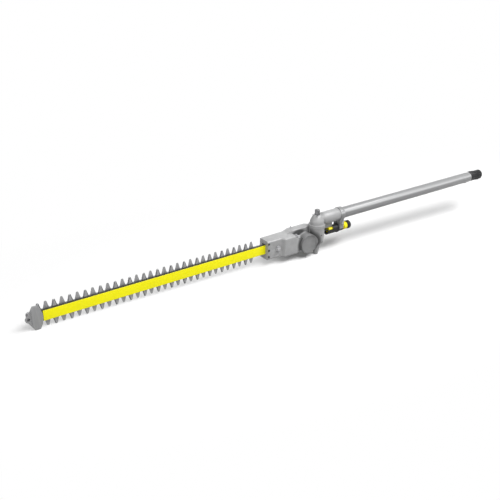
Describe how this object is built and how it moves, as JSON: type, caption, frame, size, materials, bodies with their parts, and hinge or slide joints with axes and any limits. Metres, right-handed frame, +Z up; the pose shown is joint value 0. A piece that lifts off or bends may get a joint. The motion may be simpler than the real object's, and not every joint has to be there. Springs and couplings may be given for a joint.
{
  "type": "hedge trimmer",
  "caption": "Hedge trimmer attachment for a split-shaft tool: a toothed double-blade cutter bar on a swivelling gear head, with a sprung index lock and a capped pole end.",
  "frame": {"origin": "centre of the flat foot of the swivel boss, on the swivel axis", "axes": "+X runs up the pole, away from the blades; +Z runs up the swivel axis, in the plane of the blades; +Y points to the far side of the gear case"},
  "size_m": [1.2624, 0.0534, 0.111],
  "materials": {
    "cast_alloy": "satin die casting",
    "pole_silver": "drawn and anodised",
    "blade_steel": "ground and satin",
    "strip_yellow": "gloss enamel",
    "lock_yellow": "moulded",
    "black_plastic": "moulded, fine grain",
    "bright_zinc": "zinc plated",
    "dark_screw": "black oxide",
    "gear_steel": "machined",
    "bush_bronze": "machined"
  },
  "bodies": {
    "pole": {"pole_tube": "pole_silver", "locating_lug": "pole_silver", "upper_housing": "cast_alloy", "collar_screw": "dark_screw", "dome_bolt": "dark_screw", "dome_washer": "bright_zinc", "input_bearing": "gear_steel", "bearing_ring": "gear_steel", "pole_bushes": "black_plastic", "lock_bracket": "pole_silver", "band_screw": "bright_zinc", "lock_guide": "black_plastic", "lock_spring": "dark_screw"},
    "head": {"lower_housing": "cast_alloy", "swivel_ring": "gear_steel", "pivot_bearing": "gear_steel", "foot_bush": "bush_bronze", "lay_bearings": "gear_steel", "gear_case": "cast_alloy", "case_cover": "cast_alloy", "mouth_screws": "dark_screw", "cover_screws": "bright_zinc", "neck_bolts": "bright_zinc", "joint_screws": "dark_screw", "grease_nipple": "bright_zinc", "axle_bolt": "bright_zinc", "cover_strip": "strip_yellow", "support_bar": "blade_steel", "bar_spacers": "bright_zinc", "bar_screws": "bright_zinc", "tip_guard": "blade_steel", "guard_spacers": "bright_zinc", "guard_screws": "bright_zinc", "bar_dowels": "dark_screw"},
    "input": {"input_pinion": "gear_steel", "shaft_sleeve": "gear_steel", "drive_shaft": "gear_steel", "drive_socket": "gear_steel"},
    "pivot_gears": {"pivot_shaft": "gear_steel", "upper_bevel": "gear_steel", "lower_bevel": "gear_steel"},
    "lay": {"lay_shaft": "gear_steel", "lay_bevel": "gear_steel"},
    "crank": {"crank_gear": "gear_steel", "crank_cams": "gear_steel"},
    "front_cutter": {"front_blade": "blade_steel"},
    "rear_cutter": {"rear_blade": "blade_steel"},
    "lock": {"lock_plunger": "lock_yellow", "lock_pin": "dark_screw", "lock_knob": "black_plastic"},
    "cap": {"end_cap": "black_plastic"}
  },
  "joints": [
    {"name": "head_pivot", "type": "hinge", "parent": "pole", "child": "head", "pos_m": [0, 0, 0.0727], "axis": [0, 0, 1], "range_deg": [-45, 90]},
    {"name": "crank_turn", "type": "hinge", "parent": "head", "child": "crank", "pos_m": [-0.112, 0.016, 0.043], "axis": [0, 1, 0], "range_deg": [-64, 64]},
    {"name": "front_blade_slide", "type": "slide", "parent": "head", "child": "front_cutter", "axis": [1, 0, 0], "range_m": [-0.00468, 0.00468]},
    {"name": "rear_blade_slide", "type": "slide", "parent": "head", "child": "rear_cutter", "axis": [1, 0, 0], "range_m": [-0.005, 0.005]},
    {"name": "lay_spin", "type": "hinge", "parent": "head", "child": "lay", "pos_m": [-0.05, 0, 0.043], "axis": [1, 0, 0], "range_deg": [-192, 192]},
    {"name": "pivot_spin", "type": "hinge", "parent": "head", "child": "pivot_gears", "pos_m": [0, 0, 0.06], "axis": [0, 0, 1], "range_deg": [-192, 192]},
    {"name": "input_spin", "type": "hinge", "parent": "pole", "child": "input", "pos_m": [0.03, 0, 0.0855], "axis": [1, 0, 0], "range_deg": [-384, 384]},
    {"name": "lock_slide", "type": "slide", "parent": "pole", "child": "lock", "axis": [1, 0, 0], "range_m": [-0.004, 0.004], "stiffness_N_per_m": 900, "springref_m": -0.012, "deforming": ["lock_spring"]},
    {"name": "cap_pull", "type": "slide", "parent": "pole", "child": "cap", "axis": [1, 0, 0], "range_m": [0, 0.06]}
  ],
  "couplings": [
    {"joint": "crank_turn", "follows": "front_blade_slide", "rad_per_m": 223.71},
    {"joint": "rear_blade_slide", "follows": "front_blade_slide", "ratio": -1},
    {"joint": "lay_spin", "follows": "front_blade_slide", "rad_per_m": -671.14},
    {"joint": "pivot_spin", "follows": "front_blade_slide", "rad_per_m": -671.14},
    {"joint": "input_spin", "follows": "front_blade_slide", "rad_per_m": -1342.3}
  ]
}
